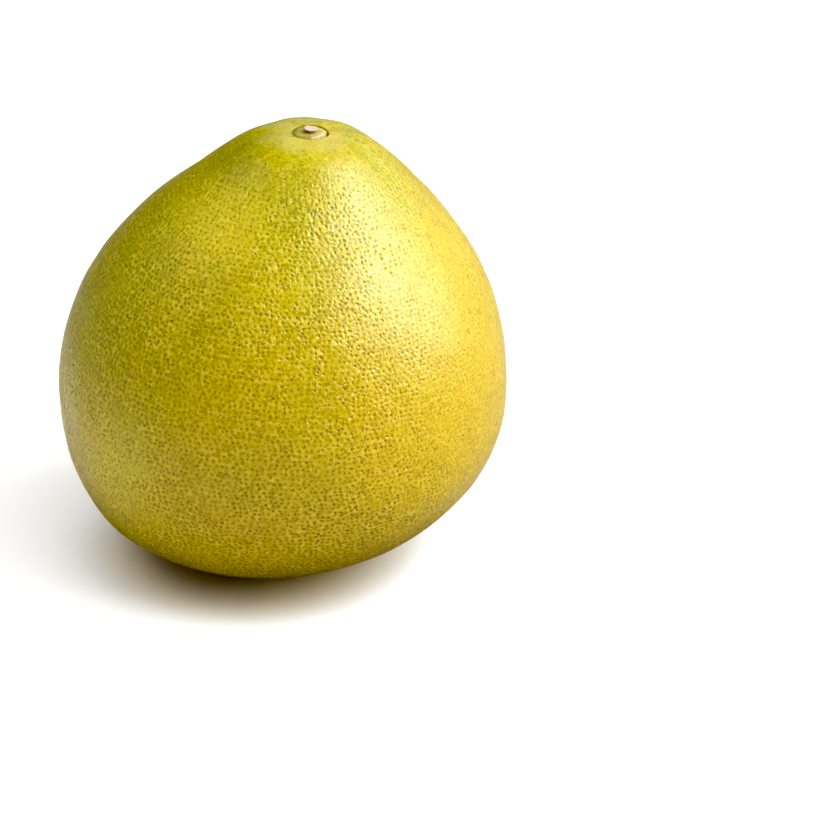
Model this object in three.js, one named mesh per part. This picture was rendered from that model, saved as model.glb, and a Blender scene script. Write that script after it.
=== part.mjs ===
// Whole pomelo: the fruit, the calyx button in the hollow of its stem end, and the cut stub of its stem.
// Millimetres, +Z up, with the stem end up. The viewer's side is -Y. The fruit rests on a small flat
// spot where its own weight presses the rind, and the origin is at the middle of its box's base.

import * as THREE from "three";

// Outline of the upright fruit, as radii and heights above the surface that it rests on
const WIDEST_RADIUS = 75;
const WIDEST_HEIGHT = 58;
const PRESSED_DEPTH = 2;
const BASE_REACH = 36.5; // how far the base runs level before it turns up
const FLANK_DROP = 44; // how far the lower flank runs upright below the widest place
const FLANK_RISE = 32.5; // and above it
const SHOULDER_RADIUS = 45.5;
const SHOULDER_HEIGHT = 124;
const SHOULDER_SLOPE = THREE.MathUtils.degToRad(44);
const SHOULDER_REACH_BELOW = 16.5;
const SHOULDER_REACH_ABOVE = 34;
const CROWN_REACH = 19.9;
const CROWN_HEIGHT = 150;

// How the fruit grew crooked
const NECK_SHIFT = 6.5; // sideways, to +X, at the crown
const BASE_SHIFT = -10.5; // sideways at the base
const LEAN_RIGHT = THREE.MathUtils.degToRad(2.5);
const LEAN_FORWARD = THREE.MathUtils.degToRad(3.5);

// Shallow furrows that run down from the stem end: direction in degrees from +X, and depth
const FURROWS = [[-20, 0.9], [-100, 0.4], [32, 0.7], [75, 0.3], [130, 0.5], [180, 1.1]];
const FURROW_HALF_WIDTH = 15; // degrees
const FURROW_RADIUS = 22; // where a furrow is deepest, from the axis
const FURROW_SPREAD = 12;

// Hollow in the crown, with the calyx button and the stem's stub in it
const HOLLOW_RADIUS = 6;
const HOLLOW_DEPTH = 2.1;
const CALYX_RADIUS = 5.3;
const CALYX_THICKNESS = 1.7;
const CALYX_EDGE = 0.5;
const STUB_RADIUS = 2.2;
const STUB_FOOT = 0.4; // how much wider the stub is where it meets the calyx
const STUB_HEIGHT = 1.8;
const STUB_FOOT_HEIGHT = 0.6;
const STUB_WORN_EDGE = 0.4; // how far the cut's rim is rounded off
const GAP = 0.3; // between pieces that touch

const RIND = { color: 0xc9ae1c, roughness: 0.4 };
const CALYX_SKIN = { color: 0xb5a83a, roughness: 0.7 };
const CUT_WOOD = { color: 0xd8c3a0, roughness: 0.9 };

const AROUND = 60;
const AROUND_SMALL = 36;
const OUTLINE_STEPS = 40;

// The upright outline, from the lowest point of the round base to the crown.
function fruitOutline() {
  const alongShoulder = new THREE.Vector2(-Math.cos(SHOULDER_SLOPE), Math.sin(SHOULDER_SLOPE));
  const shoulder = new THREE.Vector2(SHOULDER_RADIUS, SHOULDER_HEIGHT);
  const below = shoulder.clone().addScaledVector(alongShoulder, -SHOULDER_REACH_BELOW);
  const above = shoulder.clone().addScaledVector(alongShoulder, SHOULDER_REACH_ABOVE);
  const flankFoot = WIDEST_HEIGHT - FLANK_DROP;
  const flankTop = WIDEST_HEIGHT + FLANK_RISE;
  const path = new THREE.Path();
  path.moveTo(0, -PRESSED_DEPTH);
  path.bezierCurveTo(BASE_REACH, -PRESSED_DEPTH, WIDEST_RADIUS, flankFoot, WIDEST_RADIUS, WIDEST_HEIGHT);
  path.bezierCurveTo(WIDEST_RADIUS, flankTop, below.x, below.y, shoulder.x, shoulder.y);
  path.bezierCurveTo(above.x, above.y, CROWN_REACH, CROWN_HEIGHT, 0, CROWN_HEIGHT);
  return path.getSpacedPoints(OUTLINE_STEPS);
}

// How deep the furrows are at a place on the upper half.
function furrowDepth(radius, angle) {
  const along = Math.exp(-(((radius - FURROW_RADIUS) / FURROW_SPREAD) ** 2));
  let depth = 0;
  for (const [direction, deepest] of FURROWS) {
    const off = THREE.MathUtils.euclideanModulo(angle - direction + 180, 360) - 180;
    depth += deepest * along * Math.exp(-((off / FURROW_HALF_WIDTH) ** 2));
  }
  return depth;
}

// Moves a point of the upright fruit to where it is on the crooked, leaning one.
function leaned(point) {
  const above = Math.max(0, (point.z - WIDEST_HEIGHT) / (CROWN_HEIGHT - WIDEST_HEIGHT));
  const below = Math.max(0, (WIDEST_HEIGHT - point.z) / WIDEST_HEIGHT);
  point.x += NECK_SHIFT * above ** 2 + BASE_SHIFT * below ** 2;
  return point.applyEuler(new THREE.Euler(LEAN_FORWARD, LEAN_RIGHT, 0));
}

// A solid turned about the Z axis from an outline of [radius, height] points.
function turned(outline, around) {
  const profile = outline.map(([radius, height]) => new THREE.Vector2(radius, height));
  return new THREE.LatheGeometry(profile, around).rotateX(Math.PI / 2);
}

function fruitGeometry() {
  const skin = fruitOutline()
    .map((point) => [Math.max(point.x, 0), point.y])
    .filter(([radius, height]) => height < WIDEST_HEIGHT || radius > HOLLOW_RADIUS);
  const rim = skin.at(-1)[1];
  const geometry = turned(
    [...skin, [HOLLOW_RADIUS, rim], [HOLLOW_RADIUS, rim - HOLLOW_DEPTH], [0, rim - HOLLOW_DEPTH]],
    AROUND,
  );
  const places = geometry.getAttribute("position");
  const point = new THREE.Vector3();
  for (let i = 0; i < places.count; i++) {
    point.fromBufferAttribute(places, i);
    if (point.z > WIDEST_HEIGHT) {
      const angle = THREE.MathUtils.radToDeg(Math.atan2(point.y, point.x));
      const radius = Math.hypot(point.x, point.y);
      if (radius > HOLLOW_RADIUS) point.z -= furrowDepth(radius, angle);
    }
    leaned(point);
    places.setXYZ(i, point.x, point.y, Math.max(point.z, 0));
  }
  return geometry;
}

// The button that stays on the fruit, a low disc with a rounded edge, its underside at height 0.
function calyxGeometry() {
  const inner = CALYX_RADIUS - CALYX_EDGE;
  return turned(
    [
      [0, 0],
      [inner, 0],
      [CALYX_RADIUS, CALYX_EDGE],
      [CALYX_RADIUS, CALYX_THICKNESS - CALYX_EDGE],
      [inner, CALYX_THICKNESS],
      [0, CALYX_THICKNESS],
    ],
    AROUND_SMALL,
  );
}

// What is left of the stem where it was cut, its foot at height 0.
function stubGeometry() {
  return turned(
    [
      [0, 0],
      [STUB_RADIUS + STUB_FOOT, 0],
      [STUB_RADIUS, STUB_FOOT_HEIGHT],
      [STUB_RADIUS, STUB_HEIGHT - STUB_WORN_EDGE],
      [STUB_RADIUS - STUB_WORN_EDGE, STUB_HEIGHT],
      [0, STUB_HEIGHT],
    ],
    AROUND_SMALL,
  );
}

function piece(name, geometry, finish) {
  const mesh = new THREE.Mesh(geometry, new THREE.MeshStandardMaterial({ ...finish, metalness: 0 }));
  mesh.name = name;
  return mesh;
}

const pomelo = new THREE.Group();
const fruit = piece("fruit", fruitGeometry(), RIND);
const calyx = piece("calyx", calyxGeometry(), CALYX_SKIN);
const stub = piece("stem_stub", stubGeometry(), CUT_WOOD);

// The hollow's floor carries the button, which carries the stub.
const stemEnd = new THREE.Group();
stemEnd.position.copy(leaned(new THREE.Vector3(0, 0, CROWN_HEIGHT)));
stemEnd.rotation.set(LEAN_FORWARD, LEAN_RIGHT, 0);
calyx.position.z = -HOLLOW_DEPTH + GAP;
stub.position.z = calyx.position.z + CALYX_THICKNESS + GAP;
stemEnd.add(calyx, stub);
pomelo.add(fruit, stemEnd);

// The origin goes to the middle of the base of the whole box.
const box = new THREE.Box3().setFromObject(pomelo, true);
const middle = box.getCenter(new THREE.Vector3());
for (const child of pomelo.children) {
  child.position.x -= middle.x;
  child.position.y -= middle.y;
  child.position.z -= box.min.z;
}

export default pomelo;
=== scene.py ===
"""The looks of a whole pomelo: its pitted rind, the calyx button at its stem end, and its cut stem.

Lengths are in metres. Every surface is worked out with numpy from two parameters, at the fruit's real
size, and the frame says where it goes. The viewer's side is -Y and the stem end is up.
"""

import bpy
import numpy as np
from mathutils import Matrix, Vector


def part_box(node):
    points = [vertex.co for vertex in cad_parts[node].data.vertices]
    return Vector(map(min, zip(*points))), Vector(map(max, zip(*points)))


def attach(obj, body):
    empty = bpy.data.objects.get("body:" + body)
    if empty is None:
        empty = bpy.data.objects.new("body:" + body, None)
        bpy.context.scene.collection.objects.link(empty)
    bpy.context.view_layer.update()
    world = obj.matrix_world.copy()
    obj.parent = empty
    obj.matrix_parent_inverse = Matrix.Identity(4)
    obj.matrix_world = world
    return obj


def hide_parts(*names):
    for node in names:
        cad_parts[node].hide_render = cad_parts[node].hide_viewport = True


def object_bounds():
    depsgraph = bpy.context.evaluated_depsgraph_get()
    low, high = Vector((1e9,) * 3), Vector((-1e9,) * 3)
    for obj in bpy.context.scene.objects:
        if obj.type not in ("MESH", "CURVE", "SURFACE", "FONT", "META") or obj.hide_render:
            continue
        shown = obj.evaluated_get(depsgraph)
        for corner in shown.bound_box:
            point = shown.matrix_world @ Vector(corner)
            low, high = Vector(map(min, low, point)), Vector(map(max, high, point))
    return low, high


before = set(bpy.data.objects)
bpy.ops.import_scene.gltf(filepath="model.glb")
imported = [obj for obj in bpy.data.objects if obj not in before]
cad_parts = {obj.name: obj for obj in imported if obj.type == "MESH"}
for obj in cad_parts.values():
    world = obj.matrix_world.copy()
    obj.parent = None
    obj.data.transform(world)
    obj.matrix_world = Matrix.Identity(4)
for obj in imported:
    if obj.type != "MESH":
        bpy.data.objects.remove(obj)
cad_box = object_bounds()

MM = 0.001

# Outline of the upright fruit, as radii and heights above the surface that it rests on
WIDEST_RADIUS = 75.7 * MM
WIDEST_HEIGHT = 58 * MM
PRESSED_DEPTH = 2 * MM
BASE_REACH = 36.5 * MM
FLANK_DROP = 44 * MM
FLANK_RISE = 32.5 * MM
SHOULDER_RADIUS = 45.5 * MM
SHOULDER_HEIGHT = 124 * MM
SHOULDER_SLOPE = np.radians(44)
SHOULDER_REACH_BELOW = 16.5 * MM
SHOULDER_REACH_ABOVE = 34 * MM
CROWN_REACH = 19.9 * MM
CROWN_HEIGHT = 150 * MM
OUTLINE_STEPS = 600

# How the fruit grew crooked
NECK_SHIFT = 6.5 * MM
BASE_SHIFT = -10.5 * MM
LEAN_RIGHT = np.radians(2.5)
LEAN_FORWARD = np.radians(3.5)
PRESS_SOFTNESS = 0.5 * MM
NECK_BOW = 0.8 * MM
NECK_BOW_HEIGHT = 135 * MM
NECK_BOW_SPREAD = 13 * MM

# Furrows that run down from the stem end: direction in degrees from +X, depth, and half width in degrees
FURROWS = [
    (-20, 0.9 * MM, 8),
    (-100, 0.4 * MM, 13),
    (32, 0.7 * MM, 13),
    (75, 0.3 * MM, 13),
    (130, 0.5 * MM, 13),
    (180, 1.1 * MM, 11),
]
FURROW_RADIUS = 22 * MM
FURROW_SPREAD = 12 * MM

# Slow uneven growth of the rind
SWELL_SEED = 11
SWELL_WAVES = 60
SWELL_LENGTHS = (7 * MM, 55 * MM)
SWELL_SLOPE = 0.035

# Creases that the rind draws together in round the calyx
CREASES = 9
CREASE_DEPTH = 0.16 * MM
CREASE_RADIUS = 9.5 * MM
CREASE_SPREAD = 3.5 * MM

# Oil glands, which show as pits, weaker near the crown and to the right, and deeper low down
GLAND_SEED = 5
GLAND_SPACING = 1.86 * MM
GLAND_JITTER = 0.24
GLAND_DRIFT = 0.9 * MM
DRIFT_WAVES = 12
DRIFT_LENGTHS = (9 * MM, 16 * MM)
DRIFT_MARGIN = 8 * MM
GLAND_SINK = 0.12 * MM
GLAND_STRENGTH = (0.35, 1.2)
LIFTED_HEIGHT = 2 * MM
PIT_RADIUS = (0.42 * MM, 0.68 * MM)
PIT_STRETCH = 0.45
NECK_REACH = 35 * MM
NECK_PIT_STRETCH = 0.6
NECK_PIT_SHRINK = 0.35
OFF_GLAND = 9
PIT_FADE = (8 * MM, 42 * MM)
PIT_CALM = 0.5
PIT_CALM_REACH = (26 * MM, 64 * MM)
PIT_DEEPER_BELOW = 0.6
PIT_DEEPER_REACH = (75 * MM, 25 * MM)
BASE_ZONE_RADIUS = 6 * MM
BASE_ZONE_GAP = 0.9 * MM
BASE_RINGS = 14
CROWN_ZONE_RADIUS = 9.5 * MM
CROWN_ZONE_GAP = 0.7 * MM
CROWN_RINGS = 9

# Hollow of the stem end, and the scar that the flower left at the base
HOLLOW_RADIUS = 5.85 * MM
HOLLOW_DEPTH = 2.1 * MM
LIP = 0.4 * MM
HOLLOW_OVAL = 0.1 * MM
HOLLOW_WAVE = 0.12 * MM
LIP_RINGS = 5
WALL_RINGS = 3
FLOOR_RINGS = 7
CROWN_COLUMNS = 144
SCAR_RADIUS = 2.6 * MM
SCAR_DEPTH = 0.9 * MM

# Calyx button and stub, with the waves of their outlines: height, count in a turn, and phase
GAP = 0.3 * MM
CALYX_RADIUS = 5.25 * MM
CALYX_THICKNESS = 1.7 * MM
STUB_RADIUS = 2.2 * MM
STUB_HEIGHT = 1.35 * MM
CALYX_FOOT = GAP - HOLLOW_DEPTH
CALYX_WAVES = [(0.018, 2, 0.5), (0.024, 5, 2.0), (0.014, 11, 0.0)]
CALYX_EDGE_SHARE = 0.92
CALYX_COLUMNS = 180
CALYX_RAISED_SIDE = -25
STUB_FOOT = -0.15 * MM
STUB_SLANT = -0.13
STUB_LEAN = -0.05 * MM
STUB_WAVES = [(0.05, 2, 0.4), (0.035, 3, 1.9), (0.02, 7, 0.0)]
STUB_COLUMNS = 90

# Finish of the rind, whose colours also hold painted shade and painted highlight
RIND_YELLOW = (0.62, 0.41, 0.0, 1)
RIND_GREEN = (0.38, 0.34, 0.0, 1)
RIND_PALE_AND_HIGHLIGHT = (0.86, 0.66, 0.05, 1)
PIT_SHADE = (0.48, 0.47, 0.1, 1)
GROOVE_SHADE = (0.62, 0.64, 0.5, 1)
RIND_STEM_END = (0.50, 0.40, 0.06, 1)
RIND_SCAR = (0.16, 0.09, 0.03, 1)
RIND_ROUGHNESS = 0.23
RIND_IOR = 1.45
RIND_SUBSURFACE = 0.12
RIND_SUBSURFACE_RADIUS = (1.0, 0.7, 0.15)
RIND_SUBSURFACE_SCALE = 2 * MM

# Relief of the rind, in millimetres
PIT_DEPTH = 0.18
RIDGE_DEPTH = 0.08
SQUIGGLE_DEPTH = 0.13
STROKE_DEPTH = 0.04
MOTTLE_DEPTH = 0.15
GROWTH_STRETCH = 60 * MM

# How wide the blobs of the rind's noise are
VIGOUR_SIZE = 11 * MM
WOBBLE_SIZE = 0.45 * MM
PATCH_SIZE = 38 * MM
MOTTLE_SIZE = 5 * MM
SQUIGGLE_SIZE = 1.3 * MM
STROKE_SIZE = 2.2 * MM
BLOTCH_SIZE = 6 * MM
STREAK_SIZE = 0.12

# Ranges that the rind's values rise or fall over, some with what they rise or fall between
VIGOUR_RANGE = (0.36, 0.62, 0.7, 1.1)
PIT_RANGE = (0.15, 1.1, 1.0, 0.0)
CORE_RANGE = (0.1, 0.9, 1.0, 0.0)
RIDGE_RANGE = (0.9, 1.9)
RIDGE_CREST = (0.3, 0.65)
STROKE_WIDTH = (0.0, 0.035, 1.0, 0.0)
STROKE_PLACES = (0.42, 0.6)
GROOVE_SHADE_RANGE = (0.5, 0.3)
GREEN_BY_HEIGHT = (20 * MM, 140 * MM, 0.0, 0.5)
GREEN_BY_SIDE = (60 * MM, -70 * MM, 0.0, 0.35)
GREEN_ON_NECK = (14 * MM, 55 * MM, 1.0, 0.0)
WORN_RANGE = (0.6, 0.85)
WORN_REACH = (6 * MM, 17 * MM, 0.8, 0.0)
WORN_SIDES = (0.3, 0.9, 0.25, 1.0)

# How much of a light colour the ridges and strokes take, partly the rind's paler skin and partly painted
# highlight on the raised places
RIDGE_SHARE = 0.6
STROKE_SHARE = 0.6

# Soft patches where the rind is painted paler or darker: painted light and shade, such as a pool of light
# from the floor low on the left and shade on the left flank and by the crown, together with the rind's own
# uneven tone. Each is a place and its reach in millimetres, and its tint
LIGHT_AND_SHADE_PATCHES = [
    ((-15, -36, 129), (5, 24), (1.42, 1.36, 1.0, 1)),
    ((4, -52, 117), (3, 16), (1.15, 1.15, 1.0, 1)),
    ((-12, -15, 143), (3, 13), (0.8, 0.84, 0.6, 1)),
    ((-28, -22, 132), (3, 18), (1.12, 1.12, 1.0, 1)),
    ((10, -18, 147), (3, 15), (1.12, 1.1, 1.0, 1)),
    ((-50, -46, 88), (4, 24), (0.93, 0.92, 0.9, 1)),
    ((-50, -54, 50), (4, 26), (1.28, 1.28, 1.0, 1)),
]

CALYX_GREEN = (0.31, 0.27, 0.02, 1)
CALYX_PALE = (0.55, 0.45, 0.15, 1)
CALYX_DARK = (0.2, 0.15, 0.02, 1)
STUB_WOOD = (0.56, 0.42, 0.28, 1)
STUB_BARK_AND_SHADE = (0.16, 0.11, 0.02, 1)
STUB_DARK = (0.42, 0.27, 0.16, 1)

# Lights and floor
# Each light's name, direction, distance, width and power, and whether it lights matt and mirrored light
LIGHTS = [
    ("key", (0.81, -0.06, 0.53), 0.9, 0.95, 13, True, True),
    ("glint", (0.73, -0.2, 0.65), 0.9, 0.42, 8.5, False, True),
    ("glint_above", (0.42, 0.05, 0.9), 1.2, 0.45, 4.5, False, True),
    ("glint_beside", (0.95, -0.05, 0.2), 1.0, 0.6, 2.2, False, True),
    ("right_card", (0.75, 0.65, 0.2), 1.2, 0.8, 1.9, False, True),
    ("left_card", (-1, 0.2, 0.35), 1.2, 1.5, 0.9, False, True),
    ("left_fill", (-1, 0.35, 0.1), 1.2, 0.9, 1.8, True, False),
    ("back_card", (0.25, 1, 0.45), 1.5, 1.5, 3.2, False, True),
    ("crown_card", (0.12, 0.65, 0.75), 1.2, 0.5, 1.5, False, True),
    ("overhead_right", (0.4, -0.2, 1), 1.2, 0.9, 9.3, True, False),
    ("overhead_left", (-0.4, -0.2, 1), 1.2, 0.9, 4, True, False),
    ("front", (0.25, -1, 0.45), 1.2, 1.2, 1.3, True, True),
    ("sheen", (-0.655, 0.06, 0.753), 1.2, 0.6, 1.5, True, True),
]
SURROUND_SEEN = 1.0
SURROUND_LIGHT = 0.03
FLOOR_WIDTH = 12
FLOOR_COLOUR = (0.85, 0.85, 0.85, 1)
FLOOR_SHADOW_COLOUR = (0.95, 0.72, 0.3, 1)
FLOOR_FOOT = Vector((-12, -8, 0)) * MM
FLOOR_SHADOW_REACH = (32 * MM, 62 * MM)
FLOOR_BOUNCE_NEAR = 0.12
FLOOR_BOUNCE_SIDES = (1.0, 0.4)
FLOOR_MATT_SIDES = (-60 * MM, 60 * MM)
FLOOR_MIRROR_SIDES = (-100 * MM, -20 * MM)
FLOOR_MIRROR_SLANT = -0.6
FLOOR_BOUNCE_REACH = (60 * MM, 98 * MM)
FLOOR_MIRROR_FADE = (140 * MM, 400 * MM, 1.0, 0.4)
FLOOR_PAINTED_GLOW = 0.45
FLOOR_PAINTED_GLOW_REACH = (28 * MM, 76 * MM)
FLOOR_FAR_GLOW = 0.9
FLOOR_FAR_REACH = (400 * MM, 1800 * MM)

# Camera, as the photograph was taken
BLACK_POINT = 0.016
CAMERA_TARGET = Vector((42.2, 3.6, 45.8)) * MM
CAMERA_ELEVATION = np.radians(26)
CAMERA_DISTANCE = 883 * MM
CAMERA_FIELD = np.radians(18)


def bezier(points, steps):
    """A cubic curve: its two ends and two handles, each weighted by its cubic share."""
    start, first, second, end = np.array(points, float)
    share = np.linspace(0, 1, steps)[:, None]
    rest = 1 - share
    return rest**3 * start + 3 * rest**2 * share * first + 3 * rest * share**2 * second + share**3 * end


def fruit_outline():
    """Length along the upright outline from the base, with its radius and height: three cubic curves."""
    rise = np.array([-np.cos(SHOULDER_SLOPE), np.sin(SHOULDER_SLOPE)])
    base = (0, -PRESSED_DEPTH)
    widest = (WIDEST_RADIUS, WIDEST_HEIGHT)
    shoulder = np.array([SHOULDER_RADIUS, SHOULDER_HEIGHT])
    crown = (0, CROWN_HEIGHT)
    lower = bezier(
        [base, (BASE_REACH, -PRESSED_DEPTH), (WIDEST_RADIUS, WIDEST_HEIGHT - FLANK_DROP), widest],
        OUTLINE_STEPS,
    )
    flank = bezier(
        [
            widest,
            (WIDEST_RADIUS, WIDEST_HEIGHT + FLANK_RISE),
            shoulder - SHOULDER_REACH_BELOW * rise,
            shoulder,
        ],
        OUTLINE_STEPS,
    )
    neck = bezier(
        [shoulder, shoulder + SHOULDER_REACH_ABOVE * rise, (CROWN_REACH, CROWN_HEIGHT), crown],
        OUTLINE_STEPS,
    )
    points = np.concatenate([lower, flank[1:], neck[1:]])
    steps = np.linalg.norm(np.diff(points, axis=0), axis=1)
    return np.concatenate([[0], np.cumsum(steps)]), points[:, 0], points[:, 1]


OUTLINE_LENGTH, OUTLINE_RADIUS, OUTLINE_HEIGHT = fruit_outline()


def radius_at(along):
    return np.interp(along, OUTLINE_LENGTH, OUTLINE_RADIUS)


def height_at(along):
    return np.interp(along, OUTLINE_LENGTH, OUTLINE_HEIGHT)


def along_near_base(radius):
    """The length along the outline at which the base has a radius."""
    return np.interp(radius, OUTLINE_RADIUS[:OUTLINE_STEPS], OUTLINE_LENGTH[:OUTLINE_STEPS])


def along_near_crown(radius):
    """The length along the outline at which the neck has a radius."""
    return np.interp(radius, OUTLINE_RADIUS[:-OUTLINE_STEPS:-1], OUTLINE_LENGTH[:-OUTLINE_STEPS:-1])


def bell(distance, spread):
    """1 at distance 0, falling off as a bell curve."""
    return np.exp(-((distance / spread) ** 2))


def smooth(value, low, high):
    """0 below low and 1 above high, with a smooth cubic rise between."""
    share = np.clip((value - low) / (high - low), 0, 1)
    return share * share * (3 - 2 * share)


def furrow_depth(radius, around):
    """How far the furrows lower the neck: bell curves across each one and along it."""
    depth = np.zeros(np.broadcast(radius, around).shape)
    for direction, deepest, half_width in FURROWS:
        off = (np.degrees(around) - direction + 180) % 360 - 180
        depth = depth + deepest * bell(off, half_width)
    return depth * bell(radius - FURROW_RADIUS, FURROW_SPREAD)


def crease_depth(radius, around):
    """Uneven creases round the calyx: a wave in the angle, bent by a slower one, in a fading ring."""
    wave = np.sin(CREASES * around + 1.4 * np.sin(2 * around + 0.6) + 0.8)
    return CREASE_DEPTH * (0.6 + 0.4 * wave) * bell(radius - CREASE_RADIUS, CREASE_SPREAD)


def waves(points, seed, count, lengths):
    """Sines of points along random directions, with each wave's length over a full turn."""
    random = np.random.default_rng(seed)
    directions = random.normal(size=(count, 3))
    directions /= np.linalg.norm(directions, axis=1)[:, None]
    reaches = np.exp(random.uniform(*np.log(lengths), count)) / (2 * np.pi)
    phases = random.uniform(0, 2 * np.pi, count)
    return np.sin(points @ (directions / reaches[:, None]).T + phases), reaches


def swell(points):
    """How far slow growth lifts the rind: waves of random direction, length and phase, all as steep."""
    slopes, heights = waves(points, SWELL_SEED, SWELL_WAVES, SWELL_LENGTHS)
    return SWELL_SLOPE * (slopes * heights).sum(-1) * np.sqrt(2 / SWELL_WAVES)


def turned_by(angle, first, second):
    """Two coordinates after a turn that takes the first axis towards the second."""
    cosine, sine = np.cos(angle), np.sin(angle)
    return first * cosine - second * sine, second * cosine + first * sine


def leaned(points):
    """Moves points of the upright fruit to the crooked, leaning one.

    The shift sideways grows with the square of the height above or below the widest place, with a bell
    curve of it on the neck, and the lean is a turn about Y and then one about X.
    """
    x, y, z = np.moveaxis(points, -1, 0)
    above = np.maximum(0, (z - WIDEST_HEIGHT) / (CROWN_HEIGHT - WIDEST_HEIGHT))
    below = np.maximum(0, (WIDEST_HEIGHT - z) / WIDEST_HEIGHT)
    bow = NECK_BOW * bell(z - NECK_BOW_HEIGHT, NECK_BOW_SPREAD)
    x = x + NECK_SHIFT * above**2 + BASE_SHIFT * below**2 + bow
    z, x = turned_by(LEAN_RIGHT, z, x)
    y, z = turned_by(LEAN_FORWARD, y, z)
    return np.stack([x, y, z], -1)


def pressed(points):
    """Flattens what would reach below the surface that the fruit rests on, with a soft rim."""
    points = points.copy()
    z = points[..., 2]
    points[..., 2] = (z + np.sqrt(z * z + PRESS_SOFTNESS**2)) / 2
    return points


def upright(along, around, drop=0):
    """The upright rind at a length along the outline and an angle: the outline turned about Z.

    Furrows, creases and drop lower it, and the slow swell lifts it away from the fruit's middle.
    """
    radius = radius_at(along)
    height = height_at(along)
    off_hollow = smooth(radius, HOLLOW_RADIUS, HOLLOW_RADIUS + LIP)
    on_neck = smooth(height, WIDEST_HEIGHT, SHOULDER_HEIGHT) * off_hollow
    height = height - drop - on_neck * (furrow_depth(radius, around) + crease_depth(radius, around))
    points = np.stack(np.broadcast_arrays(radius * np.cos(around), radius * np.sin(around), height), -1)
    outwards = points - (0, 0, WIDEST_HEIGHT)
    outwards /= np.linalg.norm(outwards, axis=-1)[..., None]
    return points + outwards * swell(points)[..., None]


def row_shift():
    """From the crooked fruit's own axis to the row's origin, which is the middle of the CAD box's base."""
    along, around = np.meshgrid(np.linspace(0, OUTLINE_LENGTH[-1], 200), np.linspace(0, 2 * np.pi, 240))
    radius, height = radius_at(along), height_at(along)
    bare = leaned(np.stack([radius * np.cos(around), radius * np.sin(around), height], -1)).reshape(-1, 3)
    low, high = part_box("fruit")
    shift = (np.array(low) + high) / 2 - (bare.min(0) + bare.max(0)) / 2
    return shift * (1, 1, 0)


ROW_SHIFT = row_shift()


def rind(along, around, drop=0):
    """The finished rind's surface in the row's frame."""
    return pressed(leaned(upright(along, around, drop))) + ROW_SHIFT


def rind_axes(along, around):
    """Unit vectors at a place on the rind: round the fruit, up the outline, and outwards."""
    step = 0.2 * MM
    turn = step / np.maximum(radius_at(along), step)
    round_it = rind(along, around + turn) - rind(along, around - turn)
    up_it = rind(along + step, around) - rind(along - step, around)
    outwards = np.cross(round_it, up_it)
    return [axis / np.linalg.norm(axis, axis=-1)[..., None] for axis in (round_it, up_it, outwards)]


def gland_rings():
    """Rings of glands from the base to the neck, each with its angles in rising order.

    Ring spacing and the number in a ring keep the glands a spacing apart, and a random push off the
    even places makes them as irregular as real ones.
    """
    random = np.random.default_rng(GLAND_SEED)
    start = along_near_base(BASE_ZONE_RADIUS)
    end = along_near_crown(CROWN_ZONE_RADIUS)
    rows = round((end - start) / (GLAND_SPACING * np.sin(np.radians(60))))
    rings = []
    for row, along in enumerate(np.linspace(start, end, rows)):
        count = max(round(2 * np.pi * radius_at(along) / GLAND_SPACING), 8)
        slots = np.arange(count) + random.uniform(0, 1)
        slots += random.uniform(-GLAND_JITTER, GLAND_JITTER, count)
        push = random.uniform(-GLAND_JITTER, GLAND_JITTER, count) * GLAND_SPACING
        if row in (0, rows - 1):
            push *= 0
        rings.append(drifted(along + push, slots * 2 * np.pi / count, start, end))
    return rings


def drifted(along, around, start, end):
    """Glands moved along smooth random waves, which bends their rings, but less near the first and last."""
    radius = radius_at(along)
    places = np.stack([radius * np.cos(around), radius * np.sin(around), height_at(along)], -1)
    free = smooth(along, start, start + DRIFT_MARGIN) * (1 - smooth(along, end - DRIFT_MARGIN, end))
    drifts = []
    for seed in (GLAND_SEED + 3, GLAND_SEED + 4):
        heights = waves(places, seed, DRIFT_WAVES, DRIFT_LENGTHS)[0]
        drifts.append(GLAND_DRIFT * free * heights.mean(-1) * np.sqrt(2))
    return along + drifts[0], around + drifts[1] / radius


def strip(lower, upper, first_lower, first_upper):
    """Triangles between two closed rings of angles, all facing out.

    Each ring's steps are taken in the order of their middle angles, and a step makes a triangle with
    the point that the other ring has reached.
    """
    def steps(angles):
        return (angles + np.append(angles[1:], angles[0] + 2 * np.pi)) / 2

    def reached(middles, other):
        turns = np.concatenate([other - 2 * np.pi, other, other + 2 * np.pi])
        return (np.searchsorted(turns, middles) - len(other)) % len(other)

    low, high = steps(lower), steps(upper)
    i, j = np.arange(len(low)), np.arange(len(high))
    rising = np.stack(
        [first_lower + i, first_lower + (i + 1) % len(low), first_upper + reached(low, high)], -1
    )
    falling = np.stack(
        [first_upper + j, first_lower + reached(high, low), first_upper + (j + 1) % len(high)], -1
    )
    return np.concatenate([rising, falling])


def starts(rings):
    """The number of each ring's first point, and the number of points in all."""
    return np.concatenate([[0], np.cumsum([len(around) for _, around in rings])])


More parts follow.
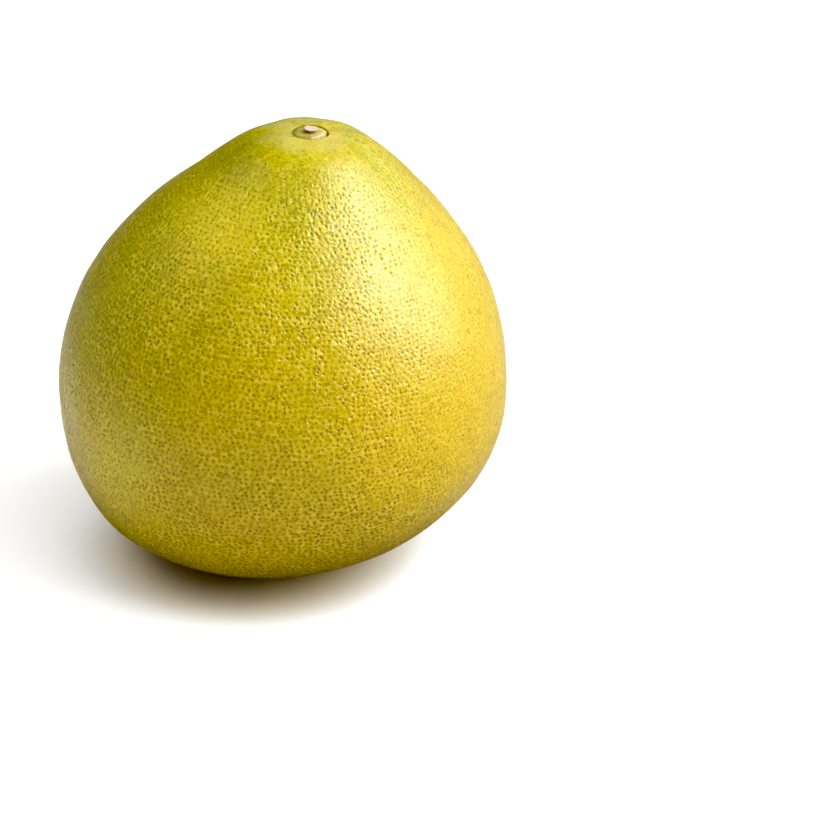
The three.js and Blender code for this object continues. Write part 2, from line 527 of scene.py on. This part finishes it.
def fruit_surface():
    """The whole rind as points, triangles and, for each triangle's corners, where they lie on a gland.

    Glands are the corners of a net of triangles. Each triangle's middle becomes a point of its own, and
    each of the net's edges becomes two faces, one for the gland at each end, so that a gland is a fan of
    faces round its sunken middle. Plain rings close the base and the hollow of the stem end.
    """
    rings = gland_rings()
    first = starts(rings)
    along = np.concatenate([ring[0] for ring in rings])
    around = np.concatenate([ring[1] for ring in rings])
    glands = len(along)
    net = np.concatenate(
        [
            strip(rings[k][1], rings[k + 1][1], first[k], first[k + 1])
            for k in range(len(rings) - 1)
        ]
    )

    middle_along = along[net].mean(1)
    middle_around = np.arctan2(np.sin(around[net]).mean(1), np.cos(around[net]).mean(1))
    round_it, up_it, outwards = rind_axes(along, around)
    strength = gland_strength(along, around)
    flat = rind(along, around)
    sunk = flat - outwards * (GLAND_SINK * strength)[:, None]
    middles = rind(middle_along, middle_around)

    # Each directed edge finds the triangle on its other side through the edge that runs back.
    tails = net.ravel()
    heads = np.roll(net, -1, axis=1).ravel()
    triangle = np.repeat(np.arange(len(net)), 3)
    forwards = tails * glands + heads
    order = np.argsort(forwards)
    place = np.searchsorted(forwards, heads * glands + tails, sorter=order)
    back = order[np.minimum(place, len(order) - 1)]
    inner = forwards[back] == heads * glands + tails
    own = glands + triangle
    other = glands + triangle[back]
    fans = np.stack([tails, other, own], -1)[inner]
    edges = np.stack([tails, heads, own], -1)[~inner]

    base = closing_rings(base_rings(), rings[0][1], glands + len(net), 0, upwards=False)
    crown_first = glands + len(net) + len(base[0])
    crown = closing_rings(crown_rings(), rings[-1][1], crown_first, first[-2], upwards=True)
    points = np.concatenate([sunk, middles, base[0], crown[0]])
    faces = np.concatenate([fans, edges, base[1], crown[1]])
    angles = np.concatenate([around, middle_around, base[2], crown[2]])
    lengths = np.concatenate([along, middle_along, base[3], crown[3]])

    # On a gland, x and y are 0 in its middle and of length 1 at the pit's edge, and z is its strength.
    size, stretch, turn = gland_shapes(along, around)
    centre = fans[:, :1]
    offset = points[fans] - flat[centre]
    offset[:, 0] = 0
    x = (offset * round_it[centre]).sum(-1)
    y = (offset * up_it[centre]).sum(-1)
    turned_x = x * np.cos(turn[centre]) + y * np.sin(turn[centre])
    turned_y = y * np.cos(turn[centre]) - x * np.sin(turn[centre])
    on_gland = np.zeros((len(faces), 3, 3))
    on_gland[:, :, 0] = OFF_GLAND
    on_gland[: len(fans), :, 0] = turned_x / size[centre]
    on_gland[: len(fans), :, 1] = turned_y / (size * stretch)[centre]
    on_gland[: len(fans), :, 2] = strength[centre]
    return points, faces, on_gland, angles, lengths


def gland_strength(along, around):
    """How deep a gland's pit is: random, but faint on the smooth neck and none where the fruit rests."""
    random = np.random.default_rng(GLAND_SEED + 1)
    place = leaned(upright(along, around))
    from_crown = smooth(OUTLINE_LENGTH[-1] - along, *PIT_FADE)
    calm_side = 1 - PIT_CALM * smooth(place[:, 0], *PIT_CALM_REACH)
    deeper = 1 + PIT_DEEPER_BELOW * smooth(-place[:, 2], -PIT_DEEPER_REACH[0], -PIT_DEEPER_REACH[1])
    lifted = smooth(place[:, 2], 0, LIFTED_HEIGHT)
    return random.uniform(*GLAND_STRENGTH, len(along)) * from_crown * calm_side * deeper * lifted


def gland_shapes(along, around):
    """Each pit's radius, how much it is stretched, and in which direction: up the neck near the crown."""
    random = np.random.default_rng(GLAND_SEED + 2)
    size = random.uniform(*PIT_RADIUS, len(along))
    stretch = 1 + PIT_STRETCH * random.uniform(0, 1, len(along))
    on_neck = bell(OUTLINE_LENGTH[-1] - along, NECK_REACH)
    turn = random.uniform(-np.pi / 2, np.pi / 2, len(along)) * (1 - on_neck)
    return size * (1 - NECK_PIT_SHRINK * on_neck), stretch * (1 + NECK_PIT_STRETCH * on_neck), turn


def base_rings():
    """The plain rings of the base, from the outermost in: length along the outline, drop, lift and lumps."""
    radii = np.linspace(BASE_ZONE_RADIUS - BASE_ZONE_GAP, 0.25 * MM, BASE_RINGS)
    none = np.zeros(BASE_RINGS)
    return along_near_base(radii), none, SCAR_DEPTH * bell(radii, SCAR_RADIUS), none


def crown_rings():
    """The plain rings of the stem end: over the lip of the hollow, down its wall and in over its floor."""
    skin = np.linspace(CROWN_ZONE_RADIUS - CROWN_ZONE_GAP, HOLLOW_RADIUS + LIP, CROWN_RINGS)
    turn = np.radians(np.linspace(90 / LIP_RINGS, 90, LIP_RINGS))
    lip = HOLLOW_RADIUS + LIP * (1 - np.sin(turn))
    lip_drop = LIP * (1 - np.cos(turn))
    wall = np.full(WALL_RINGS, HOLLOW_RADIUS)
    wall_drop = np.linspace(LIP + 0.4 * MM, HOLLOW_DEPTH, WALL_RINGS)
    floor = np.linspace(HOLLOW_RADIUS - 0.6 * MM, 0.3 * MM, FLOOR_RINGS)
    floor_drop = np.full(FLOOR_RINGS, HOLLOW_DEPTH)
    radii = np.concatenate([skin, lip, wall, floor])
    drops = np.concatenate([np.zeros(CROWN_RINGS), lip_drop, wall_drop, floor_drop])
    lumps = smooth(radii, CROWN_ZONE_RADIUS, HOLLOW_RADIUS + LIP) * smooth(radii, 0, HOLLOW_RADIUS)
    return along_near_crown(radii), drops, np.zeros(len(radii)), lumps


def closing_rings(profile, outer_angles, first, first_outer, upwards):
    """Plain rings that close the rind from a ring of glands in to the axis, with one point in the middle.

    Lumps say how much of the hollow's uneven outline, an oval with five waves, each ring follows.
    """
    along, drops, lifts, lumps = profile
    turns = np.arange(CROWN_COLUMNS) * 2 * np.pi / CROWN_COLUMNS
    uneven = HOLLOW_OVAL * np.cos(2 * turns + 0.2) + HOLLOW_WAVE * np.sin(5 * turns + 2)
    along = along[:, None] - lumps[:, None] * uneven
    grid = rind(along, turns[None], drops[:, None])
    grid[..., 2] += lifts[:, None]
    middle = grid[-1].mean(0)
    points = np.concatenate([grid.reshape(-1, 3), middle[None]])
    column = np.arange(CROWN_COLUMNS)
    last = first + (len(along) - 1) * CROWN_COLUMNS
    centre = np.full(CROWN_COLUMNS, first + len(points) - 1)
    after = (column + 1) % CROWN_COLUMNS
    faces = [np.stack([last + column, last + after, centre], -1)]
    for row in range(len(along) - 1):
        here = first + row * CROWN_COLUMNS
        there = here + CROWN_COLUMNS
        faces.append(np.stack([here + column, here + after, there + after], -1))
        faces.append(np.stack([here + column, there + after, there + column], -1))
    inner = np.concatenate(faces)
    if upwards:
        joined = np.concatenate([strip(outer_angles, turns, first_outer, first), inner])
    else:
        joined = np.concatenate([strip(turns, outer_angles, first, first_outer), inner[:, ::-1]])
    angles = np.append(np.tile(turns, len(along)), 0)
    lengths = np.append(along.ravel(), along[-1, 0])
    return points, joined, angles, lengths


def mesh_piece(name, points, faces, node):
    """A smooth mesh object that stands for a CAD node and rides with the fruit."""
    mesh = bpy.data.meshes.new(name)
    mesh.from_pydata(points.tolist(), [], faces.tolist())
    mesh.polygons.foreach_set("use_smooth", np.ones(len(mesh.polygons), bool))
    piece = bpy.data.objects.new(name, mesh)
    bpy.context.scene.collection.objects.link(piece)
    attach(piece, "root")
    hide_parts(node)
    return piece


def vector_attribute(piece, name, domain, values):
    """Stores a vector for each point or each face corner, which a material reads by name."""
    attribute = piece.data.attributes.new(name, "FLOAT_VECTOR", domain)
    attribute.data.foreach_set("vector", np.ascontiguousarray(values, np.float32).ravel())


def grid_faces(rows, columns):
    """Faces of a grid that closes round its columns and ends in a single point at both ends."""
    column = np.arange(columns)
    after = (column + 1) % columns
    faces = [np.stack([np.zeros(columns, int), 1 + after, 1 + column], -1)]
    for row in range(rows - 1):
        here = 1 + row * columns
        there = here + columns
        faces.append(np.stack([here + column, here + after, there + after], -1))
        faces.append(np.stack([here + column, there + after, there + column], -1))
    last = 1 + (rows - 1) * columns
    faces.append(np.stack([last + column, last + after, np.full(columns, last + columns)], -1))
    return np.concatenate(faces)


def capped(grid):
    """A grid's points with a middle point before its first row and after its last."""
    rows = grid.reshape(-1, 3)
    return np.concatenate([grid[:1].mean(1), rows, grid[-1:].mean(1)])


def stem_end(points):
    """Moves points measured from the upright crown to the row's frame."""
    return leaned(points + (0, 0, CROWN_HEIGHT)) + ROW_SHIFT


def uneven_outline(turns, outline_waves):
    """1 with a few waves in the angle added."""
    outline = np.ones_like(turns)
    for height, count, phase in outline_waves:
        outline += height * np.sin(count * turns + phase)
    return outline


def calyx_surface():
    """The button: a disc of uneven radius, its top a saucer with radial wrinkles and a raised side."""
    turns = np.arange(CALYX_COLUMNS) * 2 * np.pi / CALYX_COLUMNS
    edge = np.radians(np.linspace(-90, 90, 9))
    under = np.linspace(0.1, 0.85, 5)
    over = np.linspace(0.9, 0.06, 22)
    rounded = CALYX_EDGE_SHARE + (1 - CALYX_EDGE_SHARE) * np.cos(edge)
    share = np.concatenate([under, rounded, over])[:, None]
    on_top = np.concatenate([np.zeros(len(under)), 0.5 + 0.5 * np.sin(edge), np.ones(len(over))])[:, None]
    uneven = uneven_outline(turns, CALYX_WAVES)
    wrinkles = np.sin(17 * turns + 1.5 * np.sin(3 * turns + 1) + 2.5 * share) * share * (1.1 - share)
    broad = np.sin(5 * turns + 1.2) * share**2
    off = (np.degrees(turns) - CALYX_RAISED_SIDE + 180) % 360 - 180
    raised = bell(off, 55) * smooth(share, 0.35, 0.8) * (1 - smooth(share, 0.9, 1))
    collar = bell(share, 0.5)
    lift = 0.14 * wrinkles + 0.08 * broad + 0.45 * raised + 0.22 * collar - 0.3 * smooth(share, 0.8, 1)
    height = on_top * (CALYX_THICKNESS + lift * MM)
    radius = CALYX_RADIUS * share * uneven
    grid = np.stack(
        np.broadcast_arrays(radius * np.cos(turns), radius * np.sin(turns), height), -1
    )
    disc = np.stack(np.broadcast_arrays(share * np.cos(turns), share * np.sin(turns), on_top), -1)
    return stem_end(capped(grid) + (0, 0, CALYX_FOOT)), grid_faces(len(grid), CALYX_COLUMNS), capped(disc)


def stub_surface():
    """The stub: a column of uneven section, wider at its foot and its cut, leaning and cut on a slant."""
    turns = np.arange(STUB_COLUMNS) * 2 * np.pi / STUB_COLUMNS
    rise = np.linspace(0, 1, 15)
    side = 0.66 + 0.14 * bell(rise, 0.2) + 0.34 * smooth(rise, 0.3, 0.95)
    rim = np.radians(np.linspace(15, 90, 6))
    side_top = side[-1]
    share = np.concatenate([[0.5], side, side_top - 0.1 * (1 - np.cos(rim)), np.linspace(0.92, 0.1, 9)])
    level = np.concatenate([[0], rise, np.ones(15)])[:, None]
    on_rim = np.concatenate([np.zeros(16), np.sin(rim), np.ones(9)])[:, None]
    share = share[:, None]
    uneven = uneven_outline(turns, STUB_WAVES)
    fibres = 0.012 * np.sin(23 * turns + 2 * np.sin(5 * turns)) * (1 - on_rim)
    radius = STUB_RADIUS * share * (uneven + fibres)
    x = radius * np.cos(turns)
    y = radius * np.sin(turns)
    rough = 0.05 * np.sin(4.1 * x / MM + 1.3) * np.sin(3.3 * y / MM)
    rough = rough + 0.04 * np.sin(7.7 * y / MM + 5 * x / MM)
    pith = 0.16 * bell(share, 0.3)
    slant = STUB_SLANT * x
    top = STUB_HEIGHT + slant + (0.14 * on_rim + (rough - pith) * smooth(on_rim, 0.6, 1)) * MM
    height = level * top
    x = x + STUB_LEAN * (height / STUB_HEIGHT) ** 2
    grid = np.stack([x, y, height], -1)
    column = np.stack(np.broadcast_arrays(share * np.cos(turns), share * np.sin(turns), level + on_rim), -1)
    foot = CALYX_FOOT + CALYX_THICKNESS + STUB_FOOT
    return stem_end(capped(grid) + (0, 0, foot)), grid_faces(len(grid), STUB_COLUMNS), capped(column)


def new_material(name):
    """A material with an empty tree and its shader, with helpers to add and join nodes."""
    material = bpy.data.materials.new(name)
    material.use_nodes = True
    tree = material.node_tree
    tree.nodes.clear()
    output = tree.nodes.new("ShaderNodeOutputMaterial")
    shader = tree.nodes.new("ShaderNodeBsdfPrincipled")
    tree.links.new(shader.outputs["BSDF"], output.inputs["Surface"])
    return material, tree, shader


def put(tree, socket, value):
    """Gives a socket a value, or joins it to another node's output."""
    if isinstance(value, bpy.types.NodeSocket):
        tree.links.new(value, socket)
    else:
        socket.default_value = value


def add(tree, kind, inputs, output=0, **settings):
    """Adds a node with its settings and inputs, and returns one of its outputs."""
    node = tree.nodes.new(kind)
    for name, value in settings.items():
        setattr(node, name, value)
    for key, value in inputs.items():
        put(tree, node.inputs[key], value)
    return node.outputs[output]


def maths(tree, operation, first, second=0.0, third=0.0):
    return add(tree, "ShaderNodeMath", {0: first, 1: second, 2: third}, operation=operation)


def ramp(tree, value, low, high, to_low=0.0, to_high=1.0):
    """A smooth step of a value from one range to another."""
    inputs = {"Value": value, 1: low, 2: high, 3: to_low, 4: to_high}
    return add(tree, "ShaderNodeMapRange", inputs, interpolation_type="SMOOTHSTEP")


def noise(tree, where, size, detail=2.0, roughness=0.5, distortion=0.0):
    """Noise whose blobs are about a size across, from 0 to 1 around a half."""
    inputs = {
        "Vector": where,
        "Scale": 1 / size,
        "Detail": detail,
        "Roughness": roughness,
        "Distortion": distortion,
    }
    return add(tree, "ShaderNodeTexNoise", inputs)


def blend(tree, share, first, second, mode="MIX"):
    """Two colours mixed by a share."""
    node = tree.nodes.new("ShaderNodeMix")
    node.data_type = "RGBA"
    node.blend_type = mode
    put(tree, node.inputs["Factor"], share)
    put(tree, node.inputs[6], first)
    put(tree, node.inputs[7], second)
    return node.outputs[2]


def component(tree, vector, index):
    return add(tree, "ShaderNodeSeparateXYZ", {0: vector}, output=index)


def distance_from(tree, place, point):
    return add(tree, "ShaderNodeVectorMath", {0: place, 1: point}, output="Value", operation="DISTANCE")


def object_place(tree):
    return add(tree, "ShaderNodeTexCoord", {}, output="Object")


def attribute_vector(tree, name):
    return add(tree, "ShaderNodeAttribute", {}, output="Vector", attribute_name=name)


def rind_material():
    """Waxy rind: green to yellow in soft patches, some of them painted light and shade, dark pits on the
    glands, partly painted shade, and light ridges between, partly painted highlight.
    """
    material, tree, shader = new_material("rind")
    place = object_place(tree)
    gland = attribute_vector(tree, "gland")
    growth = attribute_vector(tree, "growth")
    marks = attribute_vector(tree, "marks")
    vigour = ramp(tree, noise(tree, place, VIGOUR_SIZE), *VIGOUR_RANGE)
    strength = maths(tree, "MULTIPLY", component(tree, gland, 2), vigour)
    on_pit = add(tree, "ShaderNodeVectorMath", {0: gland, 1: (1, 1, 0)}, operation="MULTIPLY")
    reach = add(tree, "ShaderNodeVectorMath", {0: on_pit}, output="Value", operation="LENGTH")
    wobble = noise(tree, place, WOBBLE_SIZE, detail=1)
    reach = maths(tree, "ADD", reach, maths(tree, "MULTIPLY_ADD", wobble, 0.5, -0.25))
    pit = maths(tree, "MULTIPLY", ramp(tree, reach, *PIT_RANGE), strength)
    core = maths(tree, "MULTIPLY", ramp(tree, reach, *CORE_RANGE), strength)

    patches = noise(tree, place, PATCH_SIZE, detail=3, roughness=0.55, distortion=0.4)
    mottle = noise(tree, place, MOTTLE_SIZE, detail=3, roughness=0.6)
    squiggles = noise(tree, place, SQUIGGLE_SIZE, detail=2, roughness=0.6, distortion=1.2)
    between = maths(tree, "MULTIPLY", ramp(tree, reach, *RIDGE_RANGE), strength)
    ridges = maths(tree, "MULTIPLY", between, ramp(tree, squiggles, *RIDGE_CREST))
    winding = noise(tree, place, STROKE_SIZE, detail=1, distortion=0.8)
    off_line = maths(tree, "ABSOLUTE", maths(tree, "SUBTRACT", winding, 0.5))
    on_line = ramp(tree, off_line, *STROKE_WIDTH)
    strokes = maths(tree, "MULTIPLY", on_line, ramp(tree, squiggles, *STROKE_PLACES))
    blotches = noise(tree, place, BLOTCH_SIZE, detail=3, roughness=0.6)
    streaks = noise(tree, growth, STREAK_SIZE, detail=3, roughness=0.6)

    from_crown = component(tree, marks, 0)
    furrow = component(tree, marks, 1)
    scar = component(tree, marks, 2)

    # Green grows with height, to the left, in the furrows and in streaks on the neck; in the furrows the
    # darker green is partly painted shade.
    by_height = ramp(tree, component(tree, place, 2), *GREEN_BY_HEIGHT)
    by_side = ramp(tree, component(tree, place, 0), *GREEN_BY_SIDE)
    green = maths(tree, "ADD", by_height, by_side)
    green = maths(tree, "ADD", green, maths(tree, "MULTIPLY_ADD", patches, 0.8, -0.4))
    # painted shade, partly: the furrows are made greener and darker
    green = maths(tree, "ADD", green, maths(tree, "MULTIPLY", furrow, 0.35))
    neck = ramp(tree, from_crown, *GREEN_ON_NECK)
    neck_streaks = maths(tree, "MULTIPLY_ADD", streaks, 1.4, -0.52)
    green = maths(tree, "ADD", green, maths(tree, "MULTIPLY", neck, neck_streaks))
    green = maths(tree, "ADD", green, maths(tree, "MULTIPLY_ADD", mottle, 0.3, -0.15))
    green = ramp(tree, green, 0.0, 1.0)
    colour = blend(tree, green, RIND_YELLOW, RIND_GREEN)
    # painted light and shade: each patch multiplies the rind's colour by its tint
    for centre, (near, far), tint in LIGHT_AND_SHADE_PATCHES:
        off = distance_from(tree, place, Vector(centre) * MM)
        colour = blend(tree, ramp(tree, off, near * MM, far * MM, 1.0, 0.0), colour, tint, mode="MULTIPLY")
    # painted shade in the grooves: darker where the squiggle relief is low, besides the rind's own dark
    # marks
    colour = blend(tree, ramp(tree, squiggles, *GROOVE_SHADE_RANGE), colour, GROOVE_SHADE, mode="MULTIPLY")
    # painted highlight, partly: the raised ridges and strokes are painted a light colour
    colour = blend(tree, maths(tree, "MULTIPLY", ridges, RIDGE_SHARE), colour, RIND_PALE_AND_HIGHLIGHT)
    colour = blend(tree, maths(tree, "MULTIPLY", strokes, STROKE_SHARE), colour, RIND_PALE_AND_HIGHLIGHT)
    # the pits' cores darkened: partly the glands' own darker colour and partly painted shade in the pits
    colour = blend(tree, core, colour, PIT_SHADE, mode="MULTIPLY")
    sideways = maths(tree, "ABSOLUTE", component(tree, growth, 0))
    worn = ramp(tree, maths(tree, "MULTIPLY_ADD", streaks, 0.35, blotches), *WORN_RANGE)
    worn = maths(tree, "MULTIPLY", worn, ramp(tree, from_crown, *WORN_REACH))
    worn = maths(tree, "MULTIPLY", worn, ramp(tree, sideways, *WORN_SIDES))
    colour = blend(tree, worn, colour, RIND_STEM_END)
    colour = blend(tree, scar, colour, RIND_SCAR)

    height = maths(tree, "MULTIPLY", pit, -PIT_DEPTH)
    height = maths(tree, "MULTIPLY_ADD", ridges, RIDGE_DEPTH, height)
    height = maths(tree, "MULTIPLY_ADD", squiggles, SQUIGGLE_DEPTH, height)
    height = maths(tree, "MULTIPLY_ADD", mottle, MOTTLE_DEPTH, height)
    height = maths(tree, "MULTIPLY_ADD", strokes, STROKE_DEPTH, height)
    bump = {"Height": height, "Distance": MM, "Strength": 1.0}
    put(tree, shader.inputs["Base Color"], colour)
    shader.inputs["Roughness"].default_value = RIND_ROUGHNESS
    put(tree, shader.inputs["Normal"], add(tree, "ShaderNodeBump", bump))
    shader.inputs["IOR"].default_value = RIND_IOR
    shader.inputs["Subsurface Weight"].default_value = RIND_SUBSURFACE
    shader.inputs["Subsurface Radius"].default_value = RIND_SUBSURFACE_RADIUS
    shader.inputs["Subsurface Scale"].default_value = RIND_SUBSURFACE_SCALE
    return material


def calyx_material():
    """Half-dried green skin that pales to beige on one side, with darker wrinkles."""
    material, tree, shader = new_material("calyx_skin")
    place = object_place(tree)
    disc = attribute_vector(tree, "disc")
    across = component(tree, disc, 0)
    mottle = noise(tree, place, 1.6 * MM, detail=4, roughness=0.65)
    grain = noise(tree, place, 0.35 * MM, detail=2)
    pale = ramp(tree, maths(tree, "MULTIPLY_ADD", mottle, 0.9, across), 0.2, 1.0)
    colour = blend(tree, pale, CALYX_GREEN, CALYX_PALE)
    colour = blend(tree, ramp(tree, mottle, 0.35, 0.6, 0.4, 0.0), colour, CALYX_DARK)
    height = maths(tree, "MULTIPLY_ADD", grain, 0.05, maths(tree, "MULTIPLY", mottle, 0.12))
    put(tree, shader.inputs["Base Color"], colour)
    put(tree, shader.inputs["Normal"], add(tree, "ShaderNodeBump", {"Height": height, "Distance": MM}))
    shader.inputs["Roughness"].default_value = 0.55
    return material


def stub_material():
    """Pale cut wood with fibres and darker bark round its side, the bark also painted shade under the
    overhanging cut.
    """
    material, tree, shader = new_material("cut_stem")
    place = object_place(tree)
    column = attribute_vector(tree, "column")
    level = component(tree, column, 2)
    fibres = noise(tree, column, 0.12, detail=3, roughness=0.7)
    grain = noise(tree, place, 0.5 * MM, detail=3, roughness=0.6)
    top = ramp(tree, level, 0.85, 1.6)
    # painted shade: the stub's side is dark bark and also the shade under its cut
    colour = blend(tree, top, STUB_BARK_AND_SHADE, STUB_WOOD)
    colour = blend(tree, ramp(tree, grain, 0.5, 0.75, 0.0, 0.5), colour, STUB_DARK)
    colour = blend(tree, ramp(tree, fibres, 0.5, 0.8, 0.0, 0.35), colour, STUB_DARK)
    height = maths(tree, "MULTIPLY_ADD", grain, 0.12, maths(tree, "MULTIPLY", fibres, 0.08))
    put(tree, shader.inputs["Base Color"], colour)
    put(tree, shader.inputs["Normal"], add(tree, "ShaderNodeBump", {"Height": height, "Distance": MM}))
    shader.inputs["Roughness"].default_value = 0.8
    return material


def make_fruit():
    points, faces, on_gland, angles, lengths = fruit_surface()
    piece = mesh_piece("pomelo_fruit", points, faces, "fruit")
    vector_attribute(piece, "gland", "CORNER", on_gland)
    from_crown = OUTLINE_LENGTH[-1] - lengths
    growth = np.stack([np.cos(angles), np.sin(angles), from_crown / GROWTH_STRETCH], -1)
    furrow = furrow_depth(radius_at(lengths), angles) / MM * (lengths > OUTLINE_LENGTH[OUTLINE_STEPS])
    scar = bell(lengths, SCAR_RADIUS)
    vector_attribute(piece, "growth", "POINT", growth)
    vector_attribute(piece, "marks", "POINT", np.stack([from_crown, furrow, scar], -1))
    piece.data.materials.append(rind_material())


def make_stem_end():
    points, faces, disc = calyx_surface()
    calyx = mesh_piece("calyx_button", points, faces, "calyx")
    vector_attribute(calyx, "disc", "POINT", disc)
    calyx.data.materials.append(calyx_material())
    points, faces, column = stub_surface()
    stub = mesh_piece("stem_stub_cut", points, faces, "stem_stub")
    vector_attribute(stub, "column", "POINT", column)
    stub.data.materials.append(stub_material())


def floor_material():
    """A matt white table with painted light and shadow, that throws little light back: the camera sees it
    glow a little beyond the fruit's foot, which lightens the fruit's cast shadow there, and sees a painted
    warm shadow nearer the foot.

    What the fruit sees of it falls off towards the foot and, by side, in another way for matt and for
    mirrored light.
    """
    material, tree, shader = new_material("pale_floor")
    place = object_place(tree)
    reach = distance_from(tree, place, FLOOR_FOOT)
    seen = add(tree, "ShaderNodeLightPath", {}, output="Is Camera Ray")
    # painted light: the camera sees the floor glow beyond the foot, which lightens the fruit's cast shadow
    # there; far off it whitens the floor
    far_glow = ramp(tree, reach, *FLOOR_FAR_REACH, 0.0, FLOOR_FAR_GLOW)
    glow = maths(tree, "ADD", ramp(tree, reach, *FLOOR_PAINTED_GLOW_REACH, 0.0, FLOOR_PAINTED_GLOW), far_glow)
    glow = maths(tree, "MULTIPLY", glow, seen)
    x, y = component(tree, place, 0), component(tree, place, 1)
    matt = ramp(tree, x, *FLOOR_MATT_SIDES, *FLOOR_BOUNCE_SIDES)
    slant = maths(tree, "MULTIPLY_ADD", y, FLOOR_MIRROR_SLANT, x)
    by_slant = ramp(tree, slant, *FLOOR_MIRROR_SIDES, *FLOOR_BOUNCE_SIDES)
    mirrored = maths(tree, "MINIMUM", by_slant, ramp(tree, reach, *FLOOR_MIRROR_FADE))
    glossy = add(tree, "ShaderNodeLightPath", {}, output="Is Glossy Ray")
    far = blend(tree, glossy, matt, mirrored)
    bounce = blend(tree, ramp(tree, reach, *FLOOR_BOUNCE_REACH), [FLOOR_BOUNCE_NEAR] * 3 + [1], far)
    # painted shadow: a warm tone on the floor near the fruit's foot, seen by the camera
    shown = blend(tree, ramp(tree, reach, *FLOOR_SHADOW_REACH), FLOOR_SHADOW_COLOUR, FLOOR_COLOUR)
    put(tree, shader.inputs["Base Color"], blend(tree, seen, bounce, shown))
    shader.inputs["Roughness"].default_value = 0.9
    shader.inputs["Specular IOR Level"].default_value = 0.0
    shader.inputs["Emission Color"].default_value = (1, 1, 1, 1)
    put(tree, shader.inputs["Emission Strength"], glow)
    return material


def make_floor():
    """A wide level floor."""
    mesh = bpy.data.meshes.new("floor")
    half = FLOOR_WIDTH / 2
    corners = [(-half, -half, 0), (half, -half, 0), (half, half, 0), (-half, half, 0)]
    mesh.from_pydata(corners, [], [(0, 1, 2, 3)])
    floor = bpy.data.objects.new("floor", mesh)
    bpy.context.scene.collection.objects.link(floor)
    mesh.materials.append(floor_material())


def make_light(name, towards, distance, size, power, matt, mirrored):
    """A square soft light, a distance from the fruit's middle in a direction, and facing it."""
    light = bpy.data.lights.new(name, "AREA")
    light.size = size
    light.energy = power
    lamp = bpy.data.objects.new(name, light)
    lamp.visible_diffuse = matt
    lamp.visible_glossy = mirrored
    bpy.context.scene.collection.objects.link(lamp)
    middle = Vector((0, 0, (cad_box[0].z + cad_box[1].z) / 2))
    direction = Vector(towards).normalized()
    lamp.location = middle + direction * distance
    lamp.rotation_mode = "QUATERNION"
    lamp.rotation_quaternion = direction.to_track_quat("Z", "Y")


def make_world():
    """A white surround that the camera sees at full strength, and that lights the fruit little."""
    world = bpy.data.worlds.new("surround")
    bpy.context.scene.world = world
    world.use_nodes = True
    tree = world.node_tree
    tree.nodes.clear()
    seen = add(tree, "ShaderNodeBackground", {"Color": (1, 1, 1, 1), "Strength": SURROUND_SEEN})
    cast = add(tree, "ShaderNodeBackground", {"Color": (1, 1, 1, 1), "Strength": SURROUND_LIGHT})
    ray = add(tree, "ShaderNodeLightPath", {}, output="Is Camera Ray")
    mixed = add(tree, "ShaderNodeMixShader", {0: ray, 1: cast, 2: seen})
    output = tree.nodes.new("ShaderNodeOutputWorld")
    put(tree, output.inputs["Surface"], mixed)


def develop_picture():
    """Plain colours, with the darkest tones taken down to black as the photograph was printed."""
    view = bpy.context.scene.view_settings
    view.view_transform = "Standard"
    view.use_curve_mapping = True
    view.curve_mapping.black_level = [BLACK_POINT] * 3
    view.curve_mapping.update()


def make_camera():
    """The photograph's view: straight along +Y, looking down on the fruit."""
    data = bpy.data.cameras.new("camera")
    data.angle = CAMERA_FIELD
    camera = bpy.data.objects.new("camera", data)
    bpy.context.scene.collection.objects.link(camera)
    back = Vector((0, -np.cos(CAMERA_ELEVATION), np.sin(CAMERA_ELEVATION)))
    camera.location = CAMERA_TARGET + back * CAMERA_DISTANCE
    camera.rotation_mode = "QUATERNION"
    camera.rotation_quaternion = back.to_track_quat("Z", "Y")
    bpy.context.scene.camera = camera


develop_picture()
make_camera()
make_world()
for light_settings in LIGHTS:
    make_light(*light_settings)
make_floor()
make_fruit()
make_stem_end()
